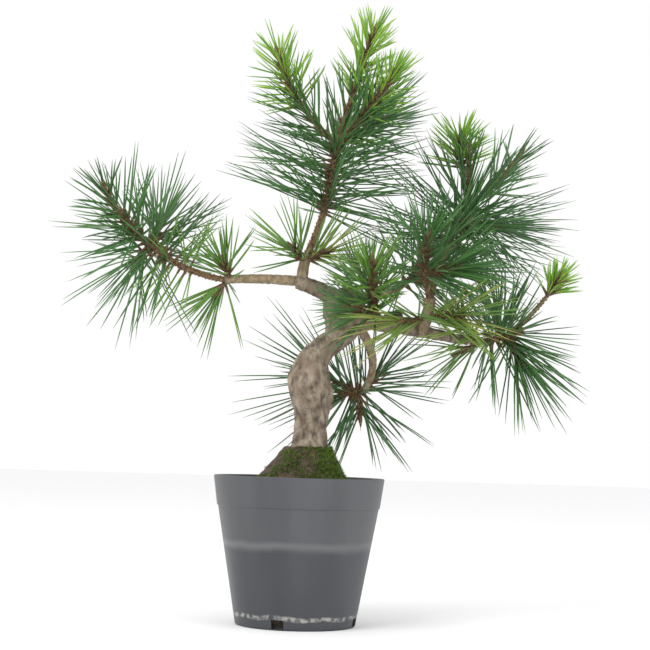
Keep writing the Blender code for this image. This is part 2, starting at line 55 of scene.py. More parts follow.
# %% Camera
CAMERA_AT = Vector((0.0149, -1.0865, 0.1208))
CAMERA_PITCH = math.radians(4.73)
CAMERA_ROLL = math.radians(1.69)
right = Vector((1, 0, 0))
ahead = Vector((0, math.cos(CAMERA_PITCH), math.sin(CAMERA_PITCH)))
above = Vector((0, -math.sin(CAMERA_PITCH), math.cos(CAMERA_PITCH)))
camera_x = right * math.cos(CAMERA_ROLL) + above * math.sin(CAMERA_ROLL)
camera_y = above * math.cos(CAMERA_ROLL) - right * math.sin(CAMERA_ROLL)
camera = bpy.data.objects.new("camera", bpy.data.cameras.new("camera"))
camera.data.lens = 85
camera.data.sensor_width = 36
camera.data.clip_start = 0.05
turned = Matrix((camera_x, camera_y, -ahead)).transposed().to_4x4()
camera.matrix_world = Matrix.Translation(CAMERA_AT) @ turned
bpy.context.scene.collection.objects.link(camera)
bpy.context.scene.camera = camera
print("camera at", tuple(round(v, 3) for v in CAMERA_AT))

# %% [markdown]
# The studio is a white table that runs out of sight, a bright even surround, and two large soft
# lights. Large lights give the pot its broad soft sheen and keep the needles from going black.

# %% Floor, surround and lights


def floor_material():
    made = bpy.data.materials.new("white_table")
    made.use_nodes = True
    shader = made.node_tree.nodes["Principled BSDF"]
    shader.inputs["Base Color"].default_value = (0.93, 0.93, 0.93, 1)
    shader.inputs["Roughness"].default_value = 0.9
    return made


def soft_light(name, at, target, size, power):
    light = bpy.data.lights.new(name, "AREA")
    light.shape = "DISK"
    light.size = size
    light.energy = power
    lamp = bpy.data.objects.new(name, light)
    lamp.location = at
    lamp.rotation_euler = (Vector(target) - Vector(at)).to_track_quat("-Z", "Y").to_euler()
    bpy.context.scene.collection.objects.link(lamp)


floor_mesh = bpy.data.meshes.new("table_top")
FLOOR_HALF = 6.0
corners = [(-FLOOR_HALF, -FLOOR_HALF, 0), (FLOOR_HALF, -FLOOR_HALF, 0),
           (FLOOR_HALF, FLOOR_HALF, 0), (-FLOOR_HALF, FLOOR_HALF, 0)]
floor_mesh.from_pydata(corners, [], [(0, 1, 2, 3)])
floor_mesh.materials.append(floor_material())
floor = bpy.data.objects.new("table_top", floor_mesh)
bpy.context.scene.collection.objects.link(floor)

world = bpy.data.worlds.new("studio")
bpy.context.scene.world = world
world.use_nodes = True
world.node_tree.nodes["Background"].inputs["Color"].default_value = (1, 1, 1, 1)
world.node_tree.nodes["Background"].inputs["Strength"].default_value = 1.0
soft_light("key_light", (-0.9, -1.1, 1.5), (0, 0, 0.2), 1.1, 16)
soft_light("fill_light", (1.3, -0.9, 0.9), (0, 0, 0.2), 1.2, 6)
bpy.context.scene.view_settings.view_transform = "Standard"
print("floor, surround and two soft lights")

# %% [markdown]
# Two effects come back in several finishes, so each is a node group with named inputs: a mottle
# that mixes two colours by layered noise, and a band that marks a stretch of height, which gives
# the pot its tide line and scale. A group gives only colours and masks, and the shader stays in
# the material.

# %% Shared node groups


def group_socket(tree, name, kind, is_input, value=None):
    in_out = "INPUT" if is_input else "OUTPUT"
    made = tree.interface.new_socket(name, in_out=in_out, socket_type=kind)
    if value is not None:
        made.default_value = value


def mottle_group():
    tree = bpy.data.node_groups.new("mottle", "ShaderNodeTree")
    group_socket(tree, "Colour A", "NodeSocketColor", True, (0.2, 0.15, 0.1, 1))
    group_socket(tree, "Colour B", "NodeSocketColor", True, (0.5, 0.4, 0.3, 1))
    group_socket(tree, "Scale", "NodeSocketFloat", True, 100.0)
    group_socket(tree, "Stretch", "NodeSocketVector", True, (1, 1, 1))
    group_socket(tree, "Sharpness", "NodeSocketFloat", True, 2.0)
    group_socket(tree, "Colour", "NodeSocketColor", False)
    group_socket(tree, "Mask", "NodeSocketFloat", False)
    nodes, links = tree.nodes, tree.links
    entry, leave = nodes.new("NodeGroupInput"), nodes.new("NodeGroupOutput")
    where = nodes.new("ShaderNodeTexCoord")
    stretch = nodes.new("ShaderNodeVectorMath")
    stretch.operation = "MULTIPLY"
    cloud = nodes.new("ShaderNodeTexNoise")
    cloud.inputs["Detail"].default_value = 6
    centre = nodes.new("ShaderNodeMath")
    centre.operation = "SUBTRACT"
    centre.inputs[1].default_value = 0.5
    sharpen = nodes.new("ShaderNodeMath")
    sharpen.operation = "MULTIPLY_ADD"
    sharpen.inputs[2].default_value = 0.5
    sharpen.use_clamp = True
    mix = nodes.new("ShaderNodeMix")
    mix.data_type = "RGBA"
    links.new(where.outputs["Object"], stretch.inputs[0])
    links.new(entry.outputs["Stretch"], stretch.inputs[1])
    links.new(stretch.outputs[0], cloud.inputs["Vector"])
    links.new(entry.outputs["Scale"], cloud.inputs["Scale"])
    links.new(cloud.outputs[0], centre.inputs[0])
    links.new(centre.outputs[0], sharpen.inputs[0])
    links.new(entry.outputs["Sharpness"], sharpen.inputs[1])
    links.new(sharpen.outputs[0], mix.inputs[0])
    links.new(entry.outputs["Colour A"], mix.inputs[6])
    links.new(entry.outputs["Colour B"], mix.inputs[7])
    links.new(mix.outputs[2], leave.inputs["Colour"])
    links.new(sharpen.outputs[0], leave.inputs["Mask"])
    return tree


def height_band_group():
    """A mask that is 1 between two heights, with wavy soft edges."""
    tree = bpy.data.node_groups.new("height_band", "ShaderNodeTree")
    group_socket(tree, "Low", "NodeSocketFloat", True, 0.0)
    group_socket(tree, "High", "NodeSocketFloat", True, 0.05)
    group_socket(tree, "Softness", "NodeSocketFloat", True, 0.002)
    group_socket(tree, "Waviness", "NodeSocketFloat", True, 0.002)
    group_socket(tree, "Mask", "NodeSocketFloat", False)
    nodes, links = tree.nodes, tree.links
    entry, leave = nodes.new("NodeGroupInput"), nodes.new("NodeGroupOutput")
    where = nodes.new("ShaderNodeTexCoord")
    split = nodes.new("ShaderNodeSeparateXYZ")
    cloud = nodes.new("ShaderNodeTexNoise")
    cloud.inputs["Scale"].default_value = 45
    wave = nodes.new("ShaderNodeMath")
    wave.operation = "MULTIPLY_ADD"
    links.new(where.outputs["Object"], split.inputs[0])
    links.new(where.outputs["Object"], cloud.inputs["Vector"])
    links.new(cloud.outputs[0], wave.inputs[0])
    links.new(entry.outputs["Waviness"], wave.inputs[1])
    links.new(split.outputs["Z"], wave.inputs[2])
    sides = []
    for edge, sign in (("Low", 1), ("High", -1)):
        apart = nodes.new("ShaderNodeMath")
        apart.operation = "SUBTRACT"
        first, second = (0, 1) if sign > 0 else (1, 0)
        links.new(wave.outputs[0], apart.inputs[first])
        links.new(entry.outputs[edge], apart.inputs[second])
        soft = nodes.new("ShaderNodeMath")
        soft.operation = "DIVIDE"
        soft.use_clamp = True
        links.new(apart.outputs[0], soft.inputs[0])
        links.new(entry.outputs["Softness"], soft.inputs[1])
        sides.append(soft)
    both = nodes.new("ShaderNodeMath")
    both.operation = "MULTIPLY"
    links.new(sides[0].outputs[0], both.inputs[0])
    links.new(sides[1].outputs[0], both.inputs[1])
    links.new(both.outputs[0], leave.inputs["Mask"])
    return tree


MOTTLE = mottle_group()
HEIGHT_BAND = height_band_group()
print("node groups", MOTTLE.name, HEIGHT_BAND.name)

# %% [markdown]
# Every finish starts from the same shader, so one small class holds the material and the short
# ways to mix colours, vary the roughness and add relief. Each finish is then a few plain lines.

# %% Helpers that place the groups in a material


class Finish:
    """A material with its Principled shader and short ways to add nodes to it."""

    def __init__(self, name, roughness=0.6, colour=(0.5, 0.5, 0.5)):
        self.material = bpy.data.materials.new(name)
        self.material.use_nodes = True
        self.tree = self.material.node_tree
        self.shader = self.tree.nodes["Principled BSDF"]
        self.shader.inputs["Roughness"].default_value = roughness
        self.shader.inputs["Base Color"].default_value = (*colour, 1)

    def group(self, tree, **values):
        made = self.tree.nodes.new("ShaderNodeGroup")
        made.node_tree = tree
        for name, value in values.items():
            made.inputs[name.replace("_", " ")].default_value = value
        return made

    def mottle(self, a, b, scale, sharpness=2.0, stretch=(1, 1, 1)):
        made = self.group(MOTTLE, Scale=scale, Sharpness=sharpness, Stretch=stretch)
        made.inputs["Colour A"].default_value = (*a, 1)
        made.inputs["Colour B"].default_value = (*b, 1)
        return made

    def mix(self, mask, a, b):
        made = self.tree.nodes.new("ShaderNodeMix")
        made.data_type = "RGBA"
        self.tree.links.new(mask, made.inputs[0])
        for value, socket in ((a, made.inputs[6]), (b, made.inputs[7])):
            if isinstance(value, tuple):
                socket.default_value = (*value, 1)
            else:
                self.tree.links.new(value, socket)
        return made.outputs[2]

    def colour(self, output):
        self.tree.links.new(output, self.shader.inputs["Base Color"])
        return self

    def rough(self, mask, low, high):
        made = self.tree.nodes.new("ShaderNodeMapRange")
        made.inputs["To Min"].default_value = low
        made.inputs["To Max"].default_value = high
        self.tree.links.new(mask, made.inputs["Value"])
        self.tree.links.new(made.outputs[0], self.shader.inputs["Roughness"])
        return self

    def bump(self, height, depth, strength=1.0):
        made = self.tree.nodes.new("ShaderNodeBump")
        made.inputs["Distance"].default_value = depth
        made.inputs["Strength"].default_value = strength
        self.tree.links.new(height, made.inputs["Height"])
        self.tree.links.new(made.outputs[0], self.shader.inputs["Normal"])
        return self


# %% [markdown]
# Most pieces are tubes: limbs, roots, twigs and needles. One function makes many tubes at once
# from arrays of centres and radii, because a crown has thousands of needles and a Python loop
# over each face would be slow. Each tube gets rings of points and closed ends.

# %% Tubes from arrays


def add_object(name, points, faces, finish, slot, smooth=True):
    mesh = bpy.data.meshes.new(name)
    mesh.from_pydata(np.asarray(points).tolist(), [], faces)
    mesh.materials.append(finish.material)
    made = bpy.data.objects.new(name, mesh)
    bpy.context.scene.collection.objects.link(made)
    if smooth:
        mesh.shade_smooth()
    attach(made, "root")
    return made


def tube_points(centres, radii, side, sides):
    """Rings round n paths, from centres (n, m, 3) and radii (n, m).

    The side (n, 3) says where each ring starts.
    """
    ways = np.gradient(centres, axis=1)
    ways /= np.linalg.norm(ways, axis=2, keepdims=True) + 1e-12
    across = side[:, None, :] - ways * np.sum(side[:, None, :] * ways, axis=2, keepdims=True)
    across /= np.linalg.norm(across, axis=2, keepdims=True) + 1e-12
    other = np.cross(ways, across)
    turns = np.arange(sides) * 2 * math.pi / sides
    rings = (centres[:, :, None, :] + radii[:, :, None, None] * (
        np.cos(turns)[None, None, :, None] * across[:, :, None, :]
        + np.sin(turns)[None, None, :, None] * other[:, :, None, :]))
    return rings.reshape(-1, 3)


def tube_faces(count, rings, sides):
    faces = []
    for n in range(count):
        base = n * rings * sides
        for i in range(rings - 1):
            for k in range(sides):
                a = base + i * sides + k
                b = base + i * sides + (k + 1) % sides
                faces.append((a, b, b + sides, a + sides))
        faces.append(tuple(base + k for k in range(sides - 1, -1, -1)))
        faces.append(tuple(base + (rings - 1) * sides + k for k in range(sides)))
    return faces


def arc(start, tip, bow, steps):
    a, b, c = (np.array(v, float) for v in (start, tip, bow))
    t = np.linspace(0, 1, steps)[:, None]
    return a + (b - a) * t + 4 * t * (1 - t) * c


def place(path, share):
    at = share * (len(path) - 1)
    i = min(int(at), len(path) - 2)
    step = path[i + 1] - path[i]
    return path[i] + step * (at - i), step / np.linalg.norm(step)


def smooth_line(stations, steps):
    """A curve through the given rows, whatever numbers each row holds."""
    p = [np.array(v, float) for v in stations]
    p = [2 * p[0] - p[1]] + p + [2 * p[-1] - p[-2]]
    out = []
    for i in range(steps):
        at = i / (steps - 1) * (len(p) - 3)
        k = min(int(at), len(p) - 4)
        u = at - k
        a, b, c, d = p[k:k + 4]
        out.append(0.5 * (2 * b + (c - a) * u + (2 * a - 5 * b + 4 * c - d) * u ** 2
                          + (3 * b - a - 3 * c + d) * u ** 3))
    return np.array(out)


# %% [markdown]
# The pot is a turned plastic shell: a flat foot with a small round, a plain sloping wall, a
# collar that stands out by less than a millimetre, and a thin rim. It could be modelled face by
# face, but a profile turned round the axis is quicker and truly round. Four small drain notches
# are cut at the foot. Water has left a tide line halfway up and a pale scale near the foot.

# %% Pot
POT_HEIGHT, POT_RIM, POT_COLLAR_Z, POT_COLLAR = 103.0, 60.0, 82.0, 57.3
POT_FOOT, POT_FOOT_ROUND, POT_WALL, POT_FLOOR = 42.4, 2.4, 1.8, 2.2
COLLAR_STEP = 0.8
NOTCH_WIDTH, NOTCH_LOW, NOTCH_HIGH, NOTCH_AZIMUTH = 8.5, 1.0, 7.0, -105.5
NOTCH_COUNT, NOTCH_DEPTH, POT_SIDES, SHARP_ANGLE = 4, 12, 192, 35


def pot_radius(height):
    share = (height - POT_FOOT_ROUND) / (POT_COLLAR_Z - POT_FOOT_ROUND)
    return POT_FOOT + (POT_COLLAR - COLLAR_STEP - POT_FOOT) * share


def pot_profile():
    inner_foot = pot_radius(POT_FLOOR) - POT_WALL
    rows = [(0, 0), (POT_FOOT - 2.2, 0), (POT_FOOT - 1.2, 0.15)]
    rows += [(POT_FOOT - 0.5, 0.6), (POT_FOOT - 0.12, 1.4)]
    rows += [(pot_radius(z), z) for z in np.linspace(POT_FOOT_ROUND, POT_COLLAR_Z - 0.3, 14)]
    rows += [(POT_COLLAR - 0.5, POT_COLLAR_Z), (POT_COLLAR - 0.15, POT_COLLAR_Z + 0.35)]
    collar_foot, collar_rise = POT_COLLAR_Z + 0.8, POT_HEIGHT - 1.8 - POT_COLLAR_Z
    rows += [(POT_COLLAR + (POT_RIM - POT_COLLAR) * t, collar_foot + collar_rise * t)
             for t in np.linspace(0, 1, 5)]
    rows += [(POT_RIM, POT_HEIGHT - 0.5), (POT_RIM - 0.3, POT_HEIGHT - 0.1)]
    rows += [(POT_RIM - 0.9, POT_HEIGHT)]
    rows += [(POT_RIM - POT_WALL + 0.2, POT_HEIGHT - 0.2), (POT_RIM - POT_WALL, POT_HEIGHT - 0.9)]
    rows += [(inner_foot, POT_FLOOR), (0, POT_FLOOR)]
    return rows


def turned(name, profile, sides, finish, slot):
    rows = profile[1:-1]
    points = [(0, 0, profile[0][1])]
    for radius, height in rows:
        for k in range(sides):
            turn = 2 * math.pi * k / sides
            points.append((radius * math.cos(turn), radius * math.sin(turn), height))
    points.append((0, 0, profile[-1][1]))
    faces, last = [], len(points) - 1
    for k in range(sides):
        nxt = (k + 1) % sides
        faces.append((0, 1 + nxt, 1 + k))
        for i in range(len(rows) - 1):
            a, b = 1 + i * sides + k, 1 + i * sides + nxt
            faces.append((a, b, b + sides, a + sides))
        faces.append((last - sides + k, last - sides + nxt, last))
    return add_object(name, np.array(points) * MM, faces, finish, slot)


def pot_finish():
    made = Finish("grey_plant_pot_plastic", 0.42)
    streaks = made.mottle((0.060, 0.064, 0.070), (0.085, 0.090, 0.097), 30, 3.0, (1, 1, 0.15))
    below = made.mottle((0.040, 0.043, 0.050), (0.055, 0.060, 0.068), 34, 3.0, (1, 1, 0.2))
    wet = made.group(HEIGHT_BAND, Low=-0.01, High=0.056, Softness=0.0025, Waviness=0.004)
    dust = made.group(HEIGHT_BAND, Low=0.0555, High=0.0625, Softness=0.003, Waviness=0.004)
    scale = made.group(HEIGHT_BAND, Low=0.0085, High=0.0125, Softness=0.0012, Waviness=0.005)
    worn = made.mottle((0, 0, 0), (1, 1, 1), 260, 5.0)
    thin = made.tree.nodes.new("ShaderNodeMath")
    thin.operation = "MULTIPLY"
    made.tree.links.new(scale.outputs["Mask"], thin.inputs[0])
    made.tree.links.new(worn.outputs["Mask"], thin.inputs[1])
    base = made.mix(wet.outputs["Mask"], streaks.outputs["Colour"], below.outputs["Colour"])
    dusty = made.mix(dust.outputs["Mask"], base, (0.115, 0.120, 0.125))
    scaled = made.mix(thin.outputs[0], dusty, (0.34, 0.33, 0.31))
    grain = made.mottle((0, 0, 0), (1, 1, 1), 900, 1.5)
    made.colour(scaled).rough(streaks.outputs["Mask"], 0.36, 0.5)
    return made.bump(grain.outputs["Mask"], 0.00006, 0.5)


pot = turned("pot_shell", pot_profile(), POT_SIDES, pot_finish(), "pot")
for notch in range(NOTCH_COUNT):
    turn = math.radians(NOTCH_AZIMUTH + 90 * notch)
    bpy.ops.mesh.primitive_cube_add(size=1)
    cutter = bpy.context.object
    cutter.scale = (NOTCH_DEPTH * MM, NOTCH_WIDTH * MM, (NOTCH_HIGH - NOTCH_LOW) * MM)
    reach = (POT_FOOT + 2) * MM
    middle = (NOTCH_HIGH + NOTCH_LOW) / 2 * MM
    cutter.location = (reach * math.cos(turn), reach * math.sin(turn), middle)
    cutter.rotation_euler = (0, 0, turn)
    cut = pot.modifiers.new("drain_notch", "BOOLEAN")
    cut.operation = "DIFFERENCE"
    cut.object = cutter
    with bpy.context.temp_override(object=pot, active_object=pot):
        bpy.ops.object.modifier_apply(modifier=cut.name)
    bpy.data.objects.remove(cutter, do_unlink=True)
pot.data.set_sharp_from_angle(angle=math.radians(SHARP_ANGLE))
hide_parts("pot")
print("pot faces", len(pot.data.polygons))

# %% [markdown]
# Soil fills the pot to just under its rim. A plain turned disc would look like a lid, so its top
# has many rings, whose points are pushed up and down by noise.

# %% Soil
SOIL_TOP, SEAT, SOIL_SIDES = 97.0, 0.3, 160


def soil_finish():
    made = Finish("damp_soil", 0.95)
    crumbs = made.mottle((0.018, 0.011, 0.007), (0.085, 0.055, 0.033), 700, 4.0)
    return made.colour(crumbs.outputs["Colour"]).bump(crumbs.outputs["Mask"], 0.0008)


def soil_profile():
    slope = (POT_RIM - pot_radius(POT_FLOOR)) / (POT_HEIGHT - POT_FLOOR)
    foot = pot_radius(POT_FLOOR) - POT_WALL - 1.5 * SEAT
    floor = POT_FLOOR + SEAT
    rows = [(0, floor), (foot, floor)]
    rows += [(foot + 0.5 * slope * (SOIL_TOP - floor), (SOIL_TOP + floor) / 2)]
    edge = foot + slope * (SOIL_TOP - floor) * 0.98
    rows += [(edge * t, SOIL_TOP - 0.5) for t in np.linspace(1, 0.02, 40)]
    return rows + [(0, SOIL_TOP - 0.5)]


soil = turned("soil", soil_profile(), SOIL_SIDES, soil_finish(), "soil")
for point in soil.data.vertices:
    if point.co.z > (SOIL_TOP - 1) * MM:
        point.co.z += (noise.noise(point.co * 260) * 0.9 * MM
                       + noise.noise(point.co * 900) * 0.5 * MM)
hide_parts("soil")
print("soil faces", len(soil.data.polygons))

# %% [markdown]
# The trunk is what makes this tree: old roots have fused round the stem and wind down it like
# ropes, and above the waist the bark is blocky and flaking. One tube could never show that. So
# a core and a set of winding tubes are joined by a voxel remesh, which melts them together as
# wood does, and then every point is pushed by noise for the bark's plates and cracks.

# %% Trunk core and roots
TRUNK = [
    (7, 0, SOIL_TOP + SEAT, 17.5),
    (6, 0, 118, 12.6),
    (7, 0, 134, 10.4),
    (8, 0, 146, 11.4),
    (6.5, 0, 160, 14.6),
    (5, 0, 172, 14.8),
    (7, 1, 184, 11.6),
    (14, 2, 194, 9.2),
    (22, 3, 201, 9.4),
    (28, 4, 213, 14),
    (27, 4, 226, 14.6),
    (25, 4, 237, 8.5),
]
ROOT_COUNT, ROOT_TOP, ROOT_TURN, ROOT_RADIUS = 7, 186.0, 190.0, 3.0
CORE_SIDES, ROOT_SIDES, MELT_SIZE, BARK_FADE = 40, 14, 0.55, 18
CORE = smooth_line(TRUNK, 80)


def root_path(index, steps=60):
    start = 360 / ROOT_COUNT * index
    top = ROOT_TOP - 6 * (index % 3)
    rng = random.Random(f"{SEED} root {index}")
    sway, phase = rng.uniform(5, 12), rng.uniform(0, 6.28)
    out = []
    for z in np.linspace(top, SOIL_TOP - 2, steps):
        centre = np.array([np.interp(z, CORE[:, 2], CORE[:, axis]) for axis in range(3)])
        centre[2] = z
        core = np.interp(z, CORE[:, 2], CORE[:, 3])
        turn = math.radians(start + ROOT_TURN * (top - z) / 90 + sway * math.sin(z / 9 + phase))
        flare = 1 + 0.30 * max(0.0, (112 - z) / 20) ** 2
        sink = 2.4 * max(0.0, 1 - (top - z) / 8)
        outward = np.array((math.cos(turn), math.sin(turn), 0))
        out.append(centre + ((core - 0.6 - sink) * flare) * outward)
    return np.array(out)


def trunk_mesh():
    rng = random.Random(SEED)
    points, faces, base = [], [], 0
    first_side = np.array([[1.0, 0, 0]])
    tubes = [(CORE[:, :3], CORE[:, 3], CORE_SIDES)]
    for index in range(ROOT_COUNT):
        line = root_path(index)
        thick = ROOT_RADIUS * (0.6 + 0.5 * np.linspace(0, 1, len(line))) * rng.uniform(0.85, 1.1)
        tubes.append((line, thick, ROOT_SIDES))
    for line, thick, sides in tubes:
        points.append(tube_points(line[None], np.asarray(thick)[None], first_side, sides))
        faces += [tuple(v + base for v in face) for face in tube_faces(1, len(line), sides)]
        base += len(points[-1])
    return np.concatenate(points) * MM, faces


def bark_finish(name, dark, light, flake, scale):
    made = Finish(name, 0.85)
    plates = made.mottle(dark, light, scale, 3.2, (1, 1, 0.6))
    patches = made.mottle((0, 0, 0), (1, 1, 1), scale * 0.35, 5.0)
    colour = made.mix(patches.outputs["Mask"], plates.outputs["Colour"], flake)
    fine = made.mottle((0, 0, 0), (1, 1, 1), scale * 4, 2.5, (1, 1, 0.5))
    return made.colour(made.mix(fine.outputs["Mask"], colour, plates.outputs["Colour"])).bump(
        fine.outputs["Mask"], 0.0007)


TRUNK_BARK = bark_finish("trunk_bark", (0.085, 0.062, 0.042), (0.40, 0.33, 0.25),
                         (0.27, 0.20, 0.135), 190)
trunk_points, trunk_faces = trunk_mesh()
trunk = add_object("trunk_bark", trunk_points, trunk_faces, TRUNK_BARK, "bark")
melt = trunk.modifiers.new("melt", "REMESH")
melt.mode = "VOXEL"
melt.voxel_size = MELT_SIZE * MM
with bpy.context.temp_override(object=trunk, active_object=trunk):
    bpy.ops.object.modifier_apply(modifier=melt.name)
normals = [vertex.normal.copy() for vertex in trunk.data.vertices]
relief = []
for point, normal in zip([vertex.co.copy() for vertex in trunk.data.vertices], normals):
    block = min(max((point.z / MM - ROOT_TOP) / BARK_FADE, 0), 1)
    plates = noise.cell(Vector((point.x, point.y, point.z * 0.7)) * 210) - 0.5
    cracks = noise.noise(point * 420) * 0.45 + noise.noise(point * 1100) * 0.22
    point += normal * ((cracks * (0.7 + 0.9 * block) + plates * 0.35 * block) * MM)
    relief.append((point.x, point.y, max(point.z, (SOIL_TOP + SEAT) * MM)))
trunk.data.vertices.foreach_set("co", np.array(relief).ravel())
trunk.data.update()
trunk.data.shade_smooth()
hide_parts("trunk")
print("trunk faces", len(trunk.data.polygons))

# %% [markdown]
# Each bough is one tapering limb. Most have bark smoother and lighter than the trunk's, with small
# lumps where old needles fell; the two thickest wear the trunk's bark, and the dead stub dead
# wood.
# The tube's radius is varied along and round it in code.

# %% Boughs
LIMBS = {
    "bough_left": ((22, 4, 230), (-6, -2, 241), (0, -1, 1), 6.4, 5.2),
    "branch_left": ((-2, -2, 241), (-57, -10, 240), (0, -1, 1), 3.8, 3.0),
    "bough_top": ((-2, -2, 243), (1, -1, 261), (-1, 0, 0), 4.2, 3.6),
    "bough_right": ((32, 2, 217), (118, 6, 202.5), (1, -12, -1), 7.2, 3.0),
    "bough_right_up": ((82, -8, 206.5), (88, -12, 231), (1.5, 0, -1), 4.4, 4.2),
    "bough_low": ((38, 3, 212), (44, 28, 166), (9, 6, -1), 3.6, 2.5),
    "bough_back": ((30, 12, 224), (64, 68, 243), (0, 3, 3), 5.5, 2.8),
    "dead_stub": ((52, -4, 212), (68, 10, 221), (0, 0, 0), 4.5, 3.6),
}
LIMB_RINGS, LIMB_SIDES, LIMB_RELIEF = 60, 20, 0.13
LEVEL_SIDE = np.array([[0.1, 0.2, 1.0]])
YOUNG_BARK = bark_finish("young_bark", (0.20, 0.145, 0.085), (0.48, 0.38, 0.25),
                         (0.36, 0.26, 0.15), 330)
DEAD_WOOD = bark_finish("dead_wood", (0.02, 0.018, 0.016), (0.14, 0.12, 0.10),
                        (0.07, 0.06, 0.05), 300)


def limb_path(name, steps=25):
    start, tip, bow = LIMBS[name][:3]
    return arc(start, tip, bow, steps)


def bark_skin(name, path, radii, sides, finish, slot, relief):
    points = tube_points(path[None], np.asarray(radii)[None], LEVEL_SIDE, sides)
    centres = np.repeat(path, sides, axis=0)
    out = []
    for point, centre in zip(points, centres):
        reach = point - centre
        lump = noise.noise(Vector(point) * 0.35) * 0.8 + noise.noise(Vector(point) * 1.1) * 0.5
        out.append(centre + reach * (1 + relief * lump))
    return add_object(name, np.array(out) * MM, tube_faces(1, len(path), sides), finish, slot)


for name, (_, _, _, thick, thin) in LIMBS.items():
    path = limb_path(name, LIMB_RINGS)
    radii = thick + (thin - thick) * np.linspace(0, 1, LIMB_RINGS) ** 0.8
    radii[-1] *= 0.75
    finish, slot = YOUNG_BARK, "young_bark"
    if name in ("bough_left", "bough_right"):
        finish, slot = TRUNK_BARK, "bark"
    if name == "dead_stub":
        finish, slot = DEAD_WOOD, "dead_wood"
    limb = bark_skin(name + "_bark", path, radii, LIMB_SIDES, finish, slot, LIMB_RELIEF)
    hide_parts(name)
print("boughs", len(LIMBS))

# %% [markdown]
# The foot of the trunk sits in a mound of old root and moss. The mound is a lumpy dome, and the
# moss on it is thousands of tiny leaning blades. A bump map alone would leave its edge smooth
# against the white surround, so the blades are real faces.

# %% Moss mound
MOUND_RADIUS, MOUND_NECK, MOUND_TOP, MOUND_AT = 35.0, 16.5, 124.0, (1.0, 0.0)


def mound_radius(turn, share):
    lumps = 1.2 * math.sin(3 * turn + 0.7) + 0.8 * math.sin(5 * turn + 2.1)
    wide = MOUND_RADIUS + 1.6 * math.cos(turn - math.pi) + lumps
    return MOUND_NECK + (wide - MOUND_NECK) * max(1 - share, 0) ** 1.15


def mound_point(turn, share):
    reach = mound_radius(turn, share)
    z = SOIL_TOP + SEAT + share * (MOUND_TOP - SOIL_TOP - SEAT)
    return np.array((MOUND_AT[0] + 4 * share + reach * math.cos(turn),
                     MOUND_AT[1] + reach * math.sin(turn), z))


MOSS = Finish("moss", 0.95)
moss_cloud = MOSS.mottle((0.055, 0.115, 0.012), (0.20, 0.33, 0.04), 420, 4.0)
MOSS.colour(moss_cloud.outputs["Colour"]).bump(moss_cloud.outputs["Mask"], 0.0008)
ROOT_EARTH = bark_finish("root_earth", (0.045, 0.030, 0.018), (0.16, 0.11, 0.07),
                         (0.10, 0.075, 0.045), 400)


def build_mound():
    turns, shares = 120, 30
    points = [mound_point(2 * math.pi * k / turns, s)
              for s in np.linspace(0, 1, shares) for k in range(turns)]
    points = [p + 0.9 * np.array(noise.noise_vector(Vector(p) * 0.22)) for p in points]
    faces = tube_faces(1, shares, turns)
    return add_object("root_mound", np.array(points) * MM, faces, ROOT_EARTH, "moss")


def build_moss(blades=16000):
    rng = random.Random(f"{SEED} moss")
    points, faces = [], []
    for _ in range(blades):
        turn, share = rng.uniform(0, 2 * math.pi), rng.uniform(0.05, 1.0)
        base = mound_point(turn, share)
        patch = noise.noise(Vector(base) * 0.09) + 0.55 * math.cos(turn + 0.6)
        if patch < rng.uniform(-0.25, 0.25):
            continue
        out = np.array((math.cos(turn), math.sin(turn), 0.9 + rng.uniform(-0.3, 0.6)))
        out += np.array([rng.uniform(-0.5, 0.5) for _ in range(3)])
        out /= np.linalg.norm(out)
        side = np.cross(out, (rng.uniform(-1, 1), rng.uniform(-1, 1), 0.3))
        side *= 0.28 / (np.linalg.norm(side) + 1e-9)
        n = len(points)
        points += [base - side - out * 0.4, base + side - out * 0.4,
                   base + out * rng.uniform(1.1, 2.4)]
        faces.append((n, n + 1, n + 2))
    return add_object("moss_blades", np.array(points) * MM, faces, MOSS, "moss", False)


mound = build_mound()
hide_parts("moss_mound")
moss = build_moss()
print("moss blades", len(moss.data.polygons))

# %% [markdown]
# Twigs carry the needles, and a few sizes rule each one: what it grows from, how far along, where
# its tip is, how far it bows and how thick it is. The same rows give the solids, so every spray
# lands in the space its solid holds. The needles follow in coats. Each row says which twig, how
# many pairs, how long, the spread at the foot and at the head, the stretch of twig, and the tone.

